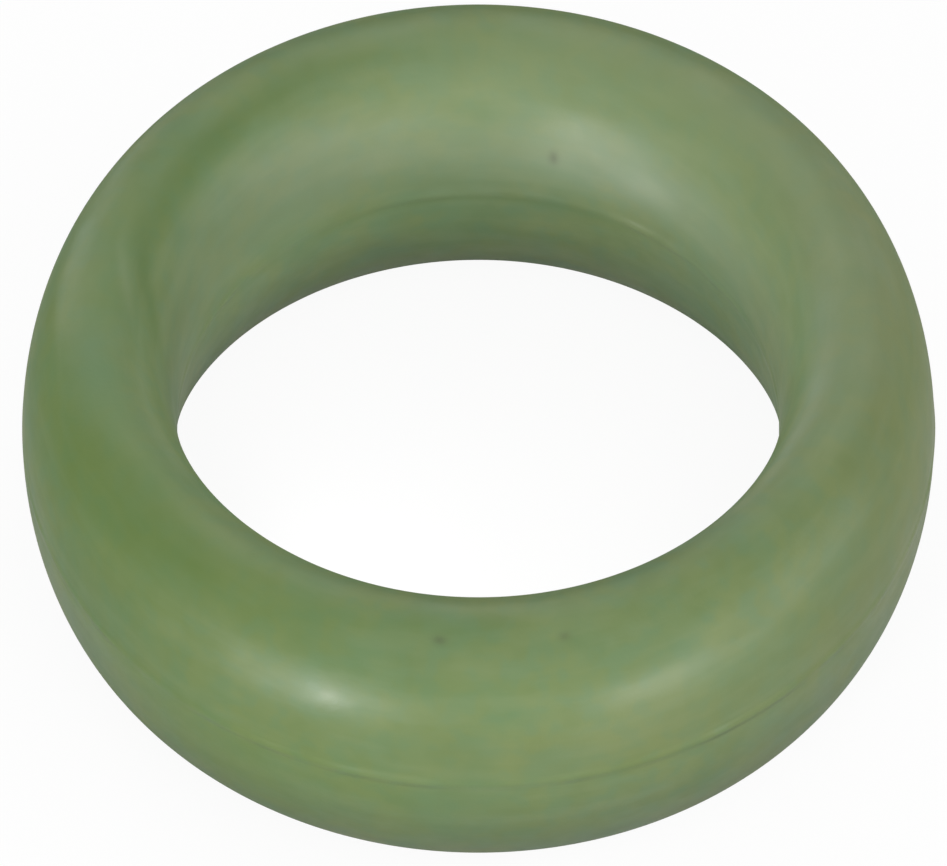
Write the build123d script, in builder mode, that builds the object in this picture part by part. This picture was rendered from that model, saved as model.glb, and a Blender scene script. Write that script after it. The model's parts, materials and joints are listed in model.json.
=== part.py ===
"""Moulded rubber sealing ring for pipe and heating fittings: one solid of tall oval section."""

import os
from math import radians, tan

from build123d import *

# Driving dimensions, in millimetres
bore_diameter = 10.5
section_width = 2.7  # across the rubber, from the bore to the outside
section_height = 6.3  # along the ring's axis
flash_crest = 0.16  # width of the flat that trimming leaves on the parting line
flash_height = 0.03  # how far the parting line stands proud of the rubber
flash_angle = 45.0  # slope of the parting line's flanks, in degrees

# Sizes that follow from them
half_width = section_width / 2
half_height = section_height / 2
mean_radius = bore_diameter / 2 + half_width
flash_depth = 2 * flash_height  # half of the parting line's profile is rooted in the rubber
flash_base = flash_crest + 2 * flash_depth / tan(radians(flash_angle))

# The ring: an oval section turned about the axis. Its two half ovals are the two halves of the mould,
# and the trimmed parting line stands where they meet, at the bore and at the outside.
# The origin is the ring's centre.
with BuildPart() as sealing_ring:
    with BuildSketch(Plane.XZ) as section:
        with BuildLine() as oval:
            for start_angle in (0, 180):
                EllipticalCenterArc((mean_radius, 0), half_width, half_height, start_angle, arc_size=180)
        make_face()
        with Locations((mean_radius, 0)):
            with PolarLocations(half_width + flash_height, 2):
                Trapezoid(flash_base, flash_depth, flash_angle, rotation=-90, align=(Align.CENTER, Align.MAX))
    revolve(axis=Axis.Z)

sealing_ring.part.label = "sealing_ring"

os.makedirs("parts", exist_ok=True)
export_step(sealing_ring.part, "parts/sealing_ring.step")
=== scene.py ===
"""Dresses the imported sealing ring: a fine mesh of the moulded rubber, its finish and a white studio."""

import json
import logging
import math
from dataclasses import dataclass, field
from enum import Enum

import bpy
import numpy as np
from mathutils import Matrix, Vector


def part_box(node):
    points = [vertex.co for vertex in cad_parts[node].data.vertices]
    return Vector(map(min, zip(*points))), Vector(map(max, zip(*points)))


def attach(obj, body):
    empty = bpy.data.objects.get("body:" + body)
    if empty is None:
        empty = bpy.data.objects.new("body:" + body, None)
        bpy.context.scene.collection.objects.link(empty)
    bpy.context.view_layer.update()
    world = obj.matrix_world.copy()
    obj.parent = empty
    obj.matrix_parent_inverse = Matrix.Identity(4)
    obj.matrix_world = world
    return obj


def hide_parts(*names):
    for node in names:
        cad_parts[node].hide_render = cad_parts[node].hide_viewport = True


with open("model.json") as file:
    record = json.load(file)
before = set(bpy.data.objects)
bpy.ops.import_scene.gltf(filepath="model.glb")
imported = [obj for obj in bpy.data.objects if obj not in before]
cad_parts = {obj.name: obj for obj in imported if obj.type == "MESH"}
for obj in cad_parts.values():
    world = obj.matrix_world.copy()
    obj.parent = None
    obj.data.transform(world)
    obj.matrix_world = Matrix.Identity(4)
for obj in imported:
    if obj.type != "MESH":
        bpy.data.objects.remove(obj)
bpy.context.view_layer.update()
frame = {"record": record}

MM = 0.001
NODE = "sealing_ring"
BODY = "root"
BAKE_MAP = "OFBake"
SEED_STEPS = (10, 20, 30)
FINE_DETAIL = 3.0

Colour = tuple[float, float, float, float]

log = logging.getLogger("sealing_ring")


class Slot(Enum):
    """Material slots of the record."""

    GREEN_RUBBER = "green_rubber"


class Edge(Enum):
    """How a patch of colour ends."""

    CLEAN = "clean"
    RAGGED = "ragged"


@dataclass
class Shader:
    """A node tree, with short ways to add and join its nodes."""

    tree: bpy.types.NodeTree

    def add(self, kind: str, settings: dict | None = None, **inputs: object) -> bpy.types.Node:
        """Adds a node and fills its inputs.

        Args:
            kind: the node's type name.
            settings: properties of the node itself.
            **inputs: input sockets by name, with _ for a space; a socket is joined and a value is set.

        Returns:
            The new node.
        """
        node = self.tree.nodes.new(kind)
        for name, value in (settings or {}).items():
            setattr(node, name, value)
        for name, value in inputs.items():
            self.feed(node.inputs[name.replace("_", " ")], value)
        return node

    def feed(self, socket: bpy.types.NodeSocket, value: object) -> None:
        """Joins an output to a socket, or sets the socket's own value.

        Args:
            socket: the input to fill.
            value: an output socket, or a plain value.
        """
        if isinstance(value, bpy.types.NodeSocket):
            self.tree.links.new(value, socket)
        else:
            socket.default_value = value

    def maths(self, operation: str, *values: object) -> bpy.types.NodeSocket:
        """Works out a number from one to three values.

        Args:
            operation: the Math node's operation.
            *values: its inputs in order.

        Returns:
            The result's socket.
        """
        node = self.tree.nodes.new("ShaderNodeMath")
        node.operation = operation
        for socket, value in zip(node.inputs, values):
            self.feed(socket, value)
        return node.outputs[0]

    def spread(
        self, value: object, low: float, high: float, new_low: float, new_high: float
    ) -> bpy.types.NodeSocket:
        """Maps a value smoothly from one range to another, clamped.

        Args:
            value: the value to map.
            low: start of its range.
            high: end of its range.
            new_low: result at the start.
            new_high: result at the end.

        Returns:
            The result's socket.
        """
        node = self.tree.nodes.new("ShaderNodeMapRange")
        node.interpolation_type = "SMOOTHSTEP"
        for socket, given in zip(node.inputs, (value, low, high, new_low, new_high)):
            self.feed(socket, given)
        return node.outputs[0]

    def tint(self, share: object, first: object, second: object) -> bpy.types.NodeSocket:
        """Mixes two colours.

        Args:
            share: how much of the second shows.
            first: colour at 0.
            second: colour at 1.

        Returns:
            The mixed colour's socket.
        """
        node = self.tree.nodes.new("ShaderNodeMix")
        node.data_type = "RGBA"
        for name, value in (("Factor_Float", share), ("A_Color", first), ("B_Color", second)):
            self.feed(next(socket for socket in node.inputs if socket.identifier == name), value)
        return next(socket for socket in node.outputs if socket.identifier == "Result_Color")

    def rays(self) -> tuple[bpy.types.NodeSocket, bpy.types.NodeSocket]:
        """Tells the kinds of ray apart.

        Returns:
            Two sockets: 1 on rays from the camera, and 1 on rays in gloss or through glass.
        """
        path = self.add("ShaderNodeLightPath").outputs
        gloss = self.maths("MAXIMUM", path["Is Glossy Ray"], path["Is Transmission Ray"])
        return path["Is Camera Ray"], gloss


def new_material(name: str) -> tuple[bpy.types.Material, Shader, bpy.types.Node]:
    """Makes an empty node material.

    Args:
        name: the material's name.

    Returns:
        The material, its shader and its output node.
    """
    material = bpy.data.materials.new(name)
    material.use_nodes = True
    material.node_tree.nodes.clear()
    shader = Shader(material.node_tree)
    return material, shader, shader.add("ShaderNodeOutputMaterial")


@dataclass(frozen=True)
class RingPlace:
    """Where a point of the skin lies, as sockets: in millimetres, and by angle round ring and section."""

    shader: Shader
    point: bpy.types.NodeSocket
    flow: bpy.types.NodeSocket
    radius: bpy.types.NodeSocket
    turn: bpy.types.NodeSocket
    section: bpy.types.NodeSocket
    ragged_turn: bpy.types.NodeSocket
    ragged_section: bpy.types.NodeSocket

    @classmethod
    def read(cls, shader: Shader, mean_radius: float, half_width: float, half_height: float) -> "RingPlace":
        """Works the sockets out from the object's own coordinates.

        Args:
            shader: the material's shader.
            mean_radius: radius of the section's centre, in metres.
            half_width: half the section's width, in metres.
            half_height: half the section's height, in metres.

        Returns:
            The sockets.
        """
        rag_size, rag_turn, rag_section = 1.6, 0.10, 0.34
        where = shader.add("ShaderNodeTexCoord").outputs["Object"]
        scale = shader.add("ShaderNodeVectorMath", {"operation": "SCALE"}, Scale=1 / MM)
        shader.feed(scale.inputs[0], where)
        point = scale.outputs[0]
        axes = shader.add("ShaderNodeSeparateXYZ", Vector=point).outputs
        squares = shader.maths("MULTIPLY_ADD", axes[0], axes[0], shader.maths("POWER", axes[1], 2.0))
        radius = shader.maths("SQRT", squares)
        turn = shader.maths("ARCTAN2", axes[1], axes[0])
        across = shader.maths("DIVIDE", shader.maths("SUBTRACT", radius, mean_radius / MM), half_width / MM)
        along = shader.maths("DIVIDE", axes[2], half_height / MM)
        section = shader.maths("ARCTAN2", along, across)
        cosine, sine = shader.maths("COSINE", turn), shader.maths("SINE", turn)
        flow = shader.add("ShaderNodeCombineXYZ", X=cosine, Y=sine, Z=axes[2])
        rag = shader.add("ShaderNodeTexNoise", Vector=point, Scale=1 / rag_size, Detail=FINE_DETAIL)
        rag = shader.add("ShaderNodeSeparateColor", Color=rag.outputs["Color"]).outputs
        push = [shader.maths("SUBTRACT", rag[axis], 0.5) for axis in range(2)]
        ragged_turn = shader.maths("MULTIPLY_ADD", push[0], rag_turn, turn)
        ragged_section = shader.maths("MULTIPLY_ADD", push[1], rag_section, section)
        return cls(shader, point, flow.outputs[0], radius, turn, section, ragged_turn, ragged_section)

    def noise(self, grain: float, detail: float, seed: float) -> bpy.types.NodeSocket:
        """Makes even noise all over the skin.

        Args:
            grain: size of a patch in millimetres.
            detail: how many finer layers it has.
            seed: sets one noise apart from another.

        Returns:
            The noise's socket, 0 to 1 about 0.5.
        """
        shift = self.shader.add("ShaderNodeVectorMath", {"operation": "ADD"})
        self.shader.feed(shift.inputs[0], self.point)
        self.shader.feed(shift.inputs[1], tuple(seed * step for step in SEED_STEPS))
        node = self.shader.add("ShaderNodeTexNoise", Vector=shift.outputs[0], Scale=1 / grain, Detail=detail)
        return node.outputs["Fac"]

    def streaks(self, length: float, grain: float, seed: float) -> bpy.types.NodeSocket:
        """Makes noise drawn out along the turn, as the compound flowed in the mould.

        Args:
            length: length of a streak, as an angle in radians.
            grain: width of a streak in millimetres.
            seed: sets one noise apart from another.

        Returns:
            The noise's socket, 0 to 1 about 0.5.
        """
        stretch = self.shader.add("ShaderNodeVectorMath", {"operation": "MULTIPLY"})
        self.shader.feed(stretch.inputs[0], self.flow)
        self.shader.feed(stretch.inputs[1], (1 / length, 1 / length, 1 / grain))
        depth = self.shader.maths("MULTIPLY_ADD", self.radius, 1 / grain, seed)
        settings = {"noise_dimensions": "4D"}
        inputs = {"Vector": stretch.outputs[0], "W": depth, "Scale": 1.0, "Detail": FINE_DETAIL}
        return self.shader.add("ShaderNodeTexNoise", settings, **inputs).outputs["Fac"]


@dataclass(frozen=True)
class Cloud:
    """A layer of soft mottling, where another tint of the compound shows."""

    tint: Colour
    grain: float
    share: float
    seed: float
    low: float = 0.42
    high: float = 0.68
    detail: float = 1.5
    streak: float = 0.0

    def mix(self, place: RingPlace, colour: object) -> bpy.types.NodeSocket:
        """Lays the mottling over a colour.

        Args:
            place: where the skin's points lie.
            colour: the colour so far.

        Returns:
            The new colour's socket.
        """
        if self.streak:
            noise = place.streaks(self.streak, self.grain, self.seed)
        else:
            noise = place.noise(self.grain, self.detail, self.seed)
        cover = place.shader.spread(noise, self.low, self.high, 0.0, self.share)
        return place.shader.tint(cover, colour, self.tint)


@dataclass(frozen=True)
class Patch:
    """A place where the skin shows darker or paler, given by its angles round the ring and its section."""

    tint: Colour
    turn: float
    section: float
    half_turn: float
    half_section: float
    share: float
    slant: float = 0.0
    edge: Edge = Edge.RAGGED

    def mix(self, place: RingPlace, colour: object) -> bpy.types.NodeSocket:
        """Lays the patch over a colour.

        Args:
            place: where the skin's points lie.
            colour: the colour so far.

        Returns:
            The new colour's socket.
        """
        return place.shader.tint(self.cover(place), colour, self.tint)

    def cover(self, place: RingPlace) -> bpy.types.NodeSocket:
        """Works out how strongly the patch shows at each point.

        Args:
            place: where the skin's points lie.

        Returns:
            The strength's socket, from 0 to the patch's share.
        """
        maths = place.shader.maths
        ragged = self.edge is Edge.RAGGED
        turn = place.ragged_turn if ragged else place.turn
        section = place.ragged_section if ragged else place.section
        turn_off = maths("WRAP", maths("SUBTRACT", turn, math.radians(self.turn)), math.pi, -math.pi)
        section = maths("MULTIPLY_ADD", turn_off, -self.slant, section)
        section_off = maths("WRAP", maths("SUBTRACT", section, math.radians(self.section)), math.pi, -math.pi)
        near = maths("POWER", maths("DIVIDE", turn_off, math.radians(self.half_turn)), 2.0)
        beside = maths("POWER", maths("DIVIDE", section_off, math.radians(self.half_section)), 2.0)
        fade = maths("EXPONENT", maths("MULTIPLY", maths("ADD", near, beside), -1.0))
        return maths("MULTIPLY", fade, self.share)


@dataclass(frozen=True)
class Texture:
    """Even noise of one size over the skin, and how high it stands in millimetres."""

    size: float
    detail: float
    seed: float
    height: float = 0.0

    def noise(self, place: RingPlace) -> bpy.types.NodeSocket:
        """Makes the noise at each point."""
        return place.noise(self.size, self.detail, self.seed)

    def bump(self, place: RingPlace, **under: bpy.types.NodeSocket) -> bpy.types.NodeSocket:
        """Raises the skin by the noise.

        Args:
            place: where the skin's points lie.
            **under: the normal below it, as Normal, where there is one.

        Returns:
            The new normal's socket.
        """
        rise = self.height * MM
        return place.shader.add("ShaderNodeBump", Height=self.noise(place), Distance=rise, **under).outputs[0]


# Deep green: the compound's darker mottling, and also painted shade on the left crest and along the parting
# line.
DEEP_AND_PAINTED_SHADE: Colour = (0.085, 0.150, 0.036, 1.0)
# Grassy green: a more saturated tint, also used as painted shade on the left side of the crest.
GRASSY_AND_PAINTED_SHADE: Colour = (0.128, 0.210, 0.048, 1.0)
YELLOWISH: Colour = (0.176, 0.226, 0.074, 1.0)
BLUISH: Colour = (0.112, 0.204, 0.094, 1.0)
# Brownish: painted sheen, paler and browner over the right side of the ring.
BROWNISH_PAINTED_SHEEN: Colour = (0.192, 0.216, 0.098, 1.0)
# Pale: flow streaks of the compound, and also painted sheen on the far right of the inner wall.
PALE_AND_PAINTED_SHEEN: Colour = (0.205, 0.268, 0.130, 1.0)
# Haze: painted sheen, a pale band round the upper inner wall.
PAINTED_INNER_SHEEN: Colour = (0.200, 0.235, 0.155, 1.0)
SPECK: Colour = (0.060, 0.066, 0.036, 1.0)


@dataclass(frozen=True)
class RubberFinish:
    """Semi-matte green elastomer, softly mottled, as it comes out of the mould, with patches of painted shade
    and painted sheen laid over it.
    """

    colour: Colour = (0.147, 0.208, 0.073, 1.0)
    roughness: float = 0.40
    roughness_swing: float = 0.06
    specular: float = 0.40
    clouds: tuple[Cloud, ...] = (
        Cloud(YELLOWISH, grain=1.5, share=0.50, seed=1.7),
        Cloud(BLUISH, grain=1.2, share=0.50, seed=8.3),
        Cloud(DEEP_AND_PAINTED_SHADE, grain=0.55, share=0.20, seed=4.1),
        Cloud(BLUISH, grain=0.40, share=0.50, seed=2.9),
        Cloud(PALE_AND_PAINTED_SHEEN, grain=0.40, share=0.26, seed=6.6, streak=0.30),
    )
    patches: tuple[Patch, ...] = (
        # Painted shade: the left side of the crest darker and greener, where less light falls.
        Patch(GRASSY_AND_PAINTED_SHADE, turn=-160, section=66, half_turn=56, half_section=50, share=0.55),
        # Painted shade: the dark band along the inner edge of the left crest.
        Patch(DEEP_AND_PAINTED_SHADE, turn=150, section=104, half_turn=42, half_section=24, share=0.24),
        Patch(DEEP_AND_PAINTED_SHADE, turn=134, section=107, half_turn=24, half_section=11, share=0.50),
        Patch(DEEP_AND_PAINTED_SHADE, turn=168, section=121, half_turn=12, half_section=8, share=0.44, slant=1.9),
        Patch(PALE_AND_PAINTED_SHEEN, turn=171, section=105, half_turn=8, half_section=5, share=0.34, slant=1.0),
        Patch(BLUISH, turn=-171, section=84, half_turn=10, half_section=14, share=0.55),
        # Painted shade: the outer left crest darker.
        Patch(DEEP_AND_PAINTED_SHADE, turn=-142, section=68, half_turn=24, half_section=26, share=0.26),
        Patch(DEEP_AND_PAINTED_SHADE, turn=-96, section=40, half_turn=8, half_section=22, share=0.16, slant=-5.4),
        Patch(GRASSY_AND_PAINTED_SHADE, turn=-122, section=-18, half_turn=26, half_section=24, share=0.50),
        # Painted sheen: the far right of the inner wall paler.
        Patch(PALE_AND_PAINTED_SHEEN, turn=45, section=109, half_turn=60, half_section=27, share=0.60),
        # Painted sheen: the right side paler and browner, where more light is mirrored.
        Patch(BROWNISH_PAINTED_SHEEN, turn=4, section=62, half_turn=38, half_section=46, share=0.50),
        Patch(BROWNISH_PAINTED_SHEEN, turn=-18, section=8, half_turn=30, half_section=34, share=0.40),
        Patch(BROWNISH_PAINTED_SHEEN, turn=-72, section=13, half_turn=32, half_section=18, share=0.32),
    )
    # Painted shade: darker lines along the parting line, on the far inner wall and the front right.
    parting: tuple[Patch, ...] = (
        Patch(DEEP_AND_PAINTED_SHADE, turn=90, section=182.5, half_turn=34, half_section=1.6, share=0.34, edge=Edge.CLEAN),
        Patch(DEEP_AND_PAINTED_SHADE, turn=-62, section=-1.5, half_turn=11, half_section=1.7, share=0.42, edge=Edge.CLEAN),
    )
    specks: tuple[Patch, ...] = (
        Patch(SPECK, turn=75.8, section=160, half_turn=0.95, half_section=3.0, share=0.50, edge=Edge.CLEAN),
        Patch(SPECK, turn=-95.5, section=69, half_turn=0.95, half_section=2.6, share=0.46, edge=Edge.CLEAN),
        Patch(SPECK, turn=-77.8, section=68, half_turn=0.85, half_section=2.6, share=0.32, edge=Edge.CLEAN),
    )
    # Painted sheen: a pale band round the upper inner wall; it also makes that band rougher.
    painted_inner_sheen: Patch = Patch(PAINTED_INNER_SHEEN, turn=90, section=157, half_turn=400, half_section=27, share=0.44)
    inner_band_roughness: float = 0.14
    sheen: Texture = Texture(size=1.3, detail=FINE_DETAIL, seed=12.9)
    sheen_range: tuple[float, float] = (0.3, 0.7)
    peel: Texture = Texture(size=0.85, detail=2.0, seed=5.2, height=0.006)
    grain: Texture = Texture(size=0.07, detail=2.0, seed=3.3, height=0.0016)

    def material(self, ring: "SealingRing") -> bpy.types.Material:
        """Builds the rubber's node material.

        Args:
            ring: the ring that wears it.

        Returns:
            The material.
        """
        material, shader, output = new_material("green_rubber")
        place = RingPlace.read(shader, ring.mean_radius, ring.half_width, ring.half_height)
        colour = self.colour
        for layer in (*self.clouds, self.painted_inner_sheen, *self.patches, *self.parting, *self.specks):
            colour = layer.mix(place, colour)
        low, high = self.roughness - self.roughness_swing, self.roughness + self.roughness_swing
        roughness = shader.spread(self.sheen.noise(place), *self.sheen_range, low, high)
        # The painted sheen band is also rougher.
        roughness = shader.maths("MULTIPLY_ADD", self.painted_inner_sheen.cover(place), self.inner_band_roughness, roughness)
        normal = self.grain.bump(place, Normal=self.peel.bump(place))
        skin = shader.add("ShaderNodeBsdfPrincipled", Base_Color=colour, Roughness=roughness, Normal=normal)
        skin.inputs["Specular IOR Level"].default_value = self.specular
        shader.feed(output.inputs["Surface"], skin.outputs[0])
        return material


@dataclass(frozen=True)
class FloorFinish:
    """Pale floor that shows white to the eye and in part in gloss, and keeps a soft share of the shadow."""

    colour: Colour = (0.58, 0.58, 0.58, 1.0)
    glow: float = 1.06
    eye_share: float = 0.88
    gloss_share: float = 0.10

    def material(self) -> bpy.types.Material:
        """Builds the floor's node material.

        Returns:
            The material.
        """
        material, shader, output = new_material("pale_floor")
        matt = shader.add("ShaderNodeBsdfDiffuse", Color=self.colour)
        glow = shader.add("ShaderNodeEmission", Strength=self.glow)
        eye, gloss = shader.rays()
        share = shader.maths("MULTIPLY", eye, self.eye_share)
        share = shader.maths("MAXIMUM", share, shader.maths("MULTIPLY", gloss, self.gloss_share))
        mixed = shader.add("ShaderNodeMixShader")
        for socket, value in zip(mixed.inputs, (share, matt.outputs[0], glow.outputs[0])):
            shader.feed(socket, value)
        shader.feed(output.inputs["Surface"], mixed.outputs[0])
        return material


@dataclass
class SealingRing:
    """The moulded ring: a tall oval section turned about the axis, with its trimmed parting line."""

    outer_radius: float
    bore_radius: float
    half_height: float
    flash_height: float = 0.03 * MM
    flash_width: float = 0.17 * MM
    flash_softness: float = 0.06 * MM
    flash_reach: float = 0.34 * MM
    flash_least: float = 0.12
    flash_waves: tuple[tuple[int, float], ...] = ((1, 2.65), (7, 2.1), (16, 4.4), (37, 1.3))
    flash_steps: int = 28
    wall_steps: int = 56
    round_steps: int = 400
    roundness: float = 1.0
    piece: bpy.types.Object | None = field(default=None, init=False)

    @classmethod
    def from_frame(cls) -> "SealingRing":
        """Takes the ring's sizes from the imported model.

        Returns:
            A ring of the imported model's sizes.
        """
        low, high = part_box(NODE)
        bore = next(mount for mount in frame["record"]["mounts"] if mount["name"] == "bore")
        return cls((high.x - low.x) / 2, bore["dims"]["r_mm"] * MM, (high.z - low.z) / 2)

    @property
    def mean_radius(self) -> float:
        """Radius of the section's centre."""
        return (self.outer_radius + self.bore_radius) / 2

    @property
    def half_width(self) -> float:
        """Half the section's width, without the parting line."""
        return (self.outer_radius - self.bore_radius) / 2 - self.flash_height

    def section(self) -> tuple[np.ndarray, np.ndarray, np.ndarray]:
        """Lays out the section, once round from the outer parting line over the top.

        Returns:
            For each point, its offset from the section's centre along the radius and along the axis,
            and how much of the parting line's height it has.
        """
        edge = math.asin(self.flash_reach / self.half_height)
        fine = np.linspace(-1, 1, self.flash_steps, endpoint=False) * self.flash_reach / self.half_height
        wall = np.linspace(edge, math.pi - edge, self.wall_steps, endpoint=False)
        angle = np.concatenate([np.arcsin(fine), wall, math.pi + np.arcsin(fine), math.pi + wall])
        across, along = np.cos(angle), np.sin(angle) * self.half_height
        rise = np.tanh((along + self.flash_width / 2) / self.flash_softness)
        fall = np.tanh((along - self.flash_width / 2) / self.flash_softness)
        return across * self.half_width, along, (rise - fall) / 2 * np.sign(across)

    def trim(self, turn: np.ndarray) -> np.ndarray:
        """Works out how high the trimmed parting line was left, round the ring.

        Args:
            turn: angles round the ring.

        Returns:
            Its height at each angle.
        """
        wave = sum(np.sin(count * turn + phase) for count, phase in self.flash_waves) / len(self.flash_waves)
        return self.flash_height * (self.flash_least + (1 - self.flash_least) * ((wave + 1) / 2) ** 2)

    def points(self) -> np.ndarray:
        """Turns the section about the axis.

        Returns:
            The mesh's points, by turn and by section.
        """
        across, along, flash = self.section()
        turn = np.linspace(0, 2 * math.pi, self.round_steps, endpoint=False)
        radius = self.mean_radius + across[None, :] + flash[None, :] * self.trim(turn)[:, None]
        x, y = radius * np.cos(turn)[:, None], radius * np.sin(turn)[:, None]
        return np.stack([x, y, np.broadcast_to(along, x.shape)], axis=-1)

    def shading(self, points: np.ndarray) -> np.ndarray:
        """Works out the shading normals, rounder than the drawn-out section's own.

        Args:
            points: the mesh's points, by turn and by section.

        Returns:
            A unit normal for each point.
        """
        along_turn = np.roll(points, -1, axis=0) - np.roll(points, 1, axis=0)
        along_section = np.roll(points, -1, axis=1) - np.roll(points, 1, axis=1)
        normals = np.cross(along_turn, along_section)
        normals[..., 2] *= 1 + (self.half_height / self.half_width - 1) * self.roundness
        return normals / np.linalg.norm(normals, axis=-1, keepdims=True)

    def build(self) -> bpy.types.Object:
        """Makes the closed mesh, with its normals and a flat layout of the skin.

        Returns:
            The ring's object.
        """
        points = self.points()
        turns, steps = points.shape[:2]
        corner = np.arange(turns * steps).reshape(turns, steps)
        ahead, beside = np.roll(corner, -1, axis=0), np.roll(corner, -1, axis=1)
        faces = np.stack([corner, ahead, np.roll(ahead, -1, axis=1), beside], axis=-1)
        mesh = bpy.data.meshes.new("moulded_ring")
        mesh.from_pydata(points.reshape(-1, 3).tolist(), [], faces.reshape(-1, 4).tolist())
        mesh.shade_smooth()
        mesh.normals_split_custom_set_from_vertices(self.shading(points).reshape(-1, 3).tolist())
        mesh.uv_layers.new(name=BAKE_MAP).uv.foreach_set("vector", self.flat_layout(turns, steps))
        self.piece = bpy.data.objects.new("moulded_ring", mesh)
        bpy.context.scene.collection.objects.link(self.piece)
        return self.piece

    @staticmethod
    def flat_layout(turns: int, steps: int) -> np.ndarray:
        """Lays the skin out flat in two strips, half a turn each, for textures.

        Args:
            turns: steps round the ring.
            steps: steps round the section.

        Returns:
            Two numbers for each corner of each face, in one row.
        """
        margin, half = 0.01, turns // 2
        turn, step = np.meshgrid(np.arange(turns), np.arange(steps), indexing="ij")
        strip = turn // half
        u = np.stack([turn % half + more for more in (0, 1, 1, 0)], axis=-1) / half
        v = np.stack([step + more for more in (0, 0, 1, 1)], axis=-1) / steps
        u = margin + (1 - 2 * margin) * u
        v = (strip[..., None] + margin + (1 - 2 * margin) * v) / 2
        return np.stack([u, v], axis=-1).ravel()

    def dress(self, finish: RubberFinish) -> None:
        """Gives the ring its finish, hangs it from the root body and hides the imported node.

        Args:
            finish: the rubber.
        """
        self.piece.data.materials.append(finish.material(self))
        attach(self.piece, BODY)
        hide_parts(NODE)


@dataclass(frozen=True)
class Softbox:
    """One soft lamp, aimed at the ring; its brightness is 1 where it looks white."""

    name: str
    azimuth: float
    elevation: float
    width: float
    height: float
    brightness: float
    distance: float = 0.2
    spread: float = 180.0

    def build(self) -> bpy.types.Object:
        """Hangs the lamp.

        Returns:
            The lamp's object.
        """
        lamp = bpy.data.lights.new(self.name, "AREA")
        lamp.shape = "RECTANGLE"
        lamp.size, lamp.size_y = self.width, self.height
        lamp.spread = math.radians(self.spread)
        lamp.energy = self.brightness * math.pi * self.width * self.height
        piece = bpy.data.objects.new(self.name, lamp)
        turn, rise = math.radians(self.azimuth), math.radians(self.elevation)
        out = Vector((math.sin(turn) * math.cos(rise), -math.cos(turn) * math.cos(rise), math.sin(rise)))
        piece.location = out * self.distance
        piece.rotation_euler = out.to_track_quat("Z", "Y").to_euler()
        piece.visible_camera = False
        bpy.context.scene.collection.objects.link(piece)
        return piece


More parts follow.
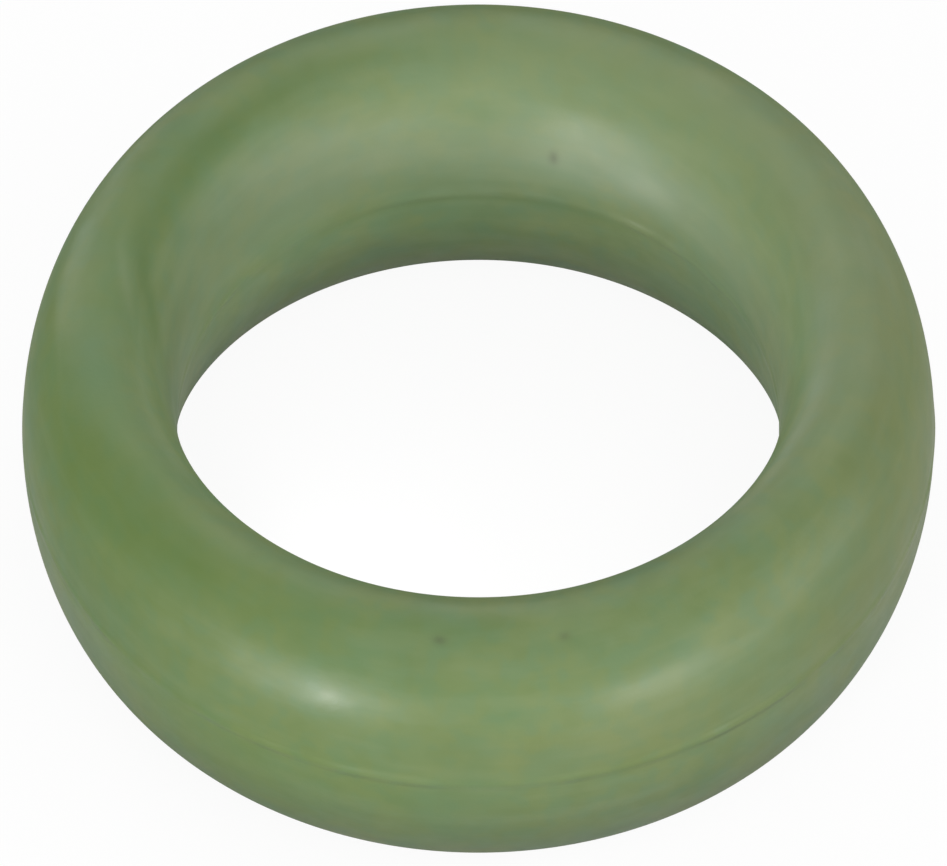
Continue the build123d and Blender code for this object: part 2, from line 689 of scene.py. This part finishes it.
@dataclass
class Studio:
    """White floor, soft lamps and the camera."""

    floor_height: float
    floor_size: float = 0.6
    frame_width: float = 16.5 * MM
    camera_elevation: float = 51.5
    camera_distance: float = 0.2
    camera_near: float = 0.02
    aim_right: float = -0.086 * MM
    aim_up: float = -0.077 * MM
    sky: float = 0.04
    backdrop: float = 0.42
    lamps: tuple[Softbox, ...] = (
        Softbox("spark_left", azimuth=-33, elevation=13, width=0.028, height=0.028, brightness=24.0),
        Softbox("key_left", azimuth=-36, elevation=12, width=0.06, height=0.04, brightness=22.0),
        Softbox("key_right", azimuth=37, elevation=13, width=0.12, height=0.07, brightness=5.4),
        Softbox("front_panel", azimuth=5, elevation=58, width=0.17, height=0.14, brightness=1.25),
        Softbox("left_panel", azimuth=-62, elevation=30, width=0.10, height=0.10, brightness=1.0),
        Softbox("right_panel", azimuth=75, elevation=28, width=0.14, height=0.12, brightness=2.45),
        Softbox("top_panel", azimuth=0, elevation=88, width=0.20, height=0.20, brightness=0.28),
        Softbox("back_panel", azimuth=180, elevation=52, width=0.18, height=0.10, brightness=1.45),
        Softbox("back_left", azimuth=-145, elevation=26, width=0.10, height=0.10, brightness=2.8),
        Softbox("back_right", azimuth=145, elevation=26, width=0.10, height=0.10, brightness=1.2),
        Softbox("bore_left", azimuth=-56, elevation=-10, width=0.0042, height=0.003, brightness=7.4,
                distance=0.0045, spread=150),
        Softbox("bore_right", azimuth=46, elevation=-6, width=0.0036, height=0.0024, brightness=2.3,
                distance=0.0045, spread=136),
    )

    def build_floor(self, finish: FloorFinish) -> bpy.types.Object:
        """Lays the floor under the ring.

        Args:
            finish: the floor's finish.

        Returns:
            The floor's object.
        """
        half = self.floor_size / 2
        corners = [(-half, -half), (half, -half), (half, half), (-half, half)]
        mesh = bpy.data.meshes.new("studio_floor")
        mesh.from_pydata([(x, y, self.floor_height) for x, y in corners], [], [(0, 1, 2, 3)])
        mesh.materials.append(finish.material())
        floor = bpy.data.objects.new("studio_floor", mesh)
        bpy.context.scene.collection.objects.link(floor)
        return floor

    def build_light(self) -> None:
        """Sets the dim even sky, white to the eye and in gloss, and hangs the lamps."""
        world = bpy.data.worlds.new("studio_sky")
        bpy.context.scene.world = world
        world.use_nodes = True
        world.node_tree.nodes.clear()
        shader = Shader(world.node_tree)
        seen = shader.maths("MAXIMUM", *shader.rays())
        strength = shader.maths("MULTIPLY_ADD", seen, self.backdrop - self.sky, self.sky)
        sky = shader.add("ShaderNodeBackground", Color=(1.0, 1.0, 1.0, 1.0), Strength=strength)
        output = shader.add("ShaderNodeOutputWorld")
        shader.feed(output.inputs["Surface"], sky.outputs[0])
        for lamp in self.lamps:
            lamp.build()

    def build_camera(self) -> bpy.types.Object:
        """Sets the camera at the photograph's angle.

        Returns:
            The camera's object.
        """
        rise = math.radians(self.camera_elevation)
        back = Vector((0, -math.cos(rise), math.sin(rise)))
        up = Vector((0, math.sin(rise), math.cos(rise)))
        lens = bpy.data.cameras.new("studio_camera")
        lens.type = "ORTHO"
        lens.ortho_scale = self.frame_width
        lens.clip_start = self.camera_near
        camera = bpy.data.objects.new("studio_camera", lens)
        camera.location = back * self.camera_distance + Vector((self.aim_right, 0, 0)) + up * self.aim_up
        camera.rotation_euler = back.to_track_quat("Z", "Y").to_euler()
        bpy.context.scene.collection.objects.link(camera)
        bpy.context.scene.camera = camera
        return camera


def main() -> None:
    """Builds the ring and its studio."""
    logging.basicConfig(level=logging.INFO, format="%(name)s: %(message)s")
    ring = SealingRing.from_frame()
    piece = ring.build()
    ring.dress(RubberFinish())
    log.info("%s: %d faces", piece.name, len(piece.data.polygons))
    studio = Studio(floor_height=-ring.half_height)
    studio.build_floor(FloorFinish())
    studio.build_light()
    studio.build_camera()
    bpy.context.scene.view_settings.view_transform = "Standard"


if __name__ == "__main__":
    main()
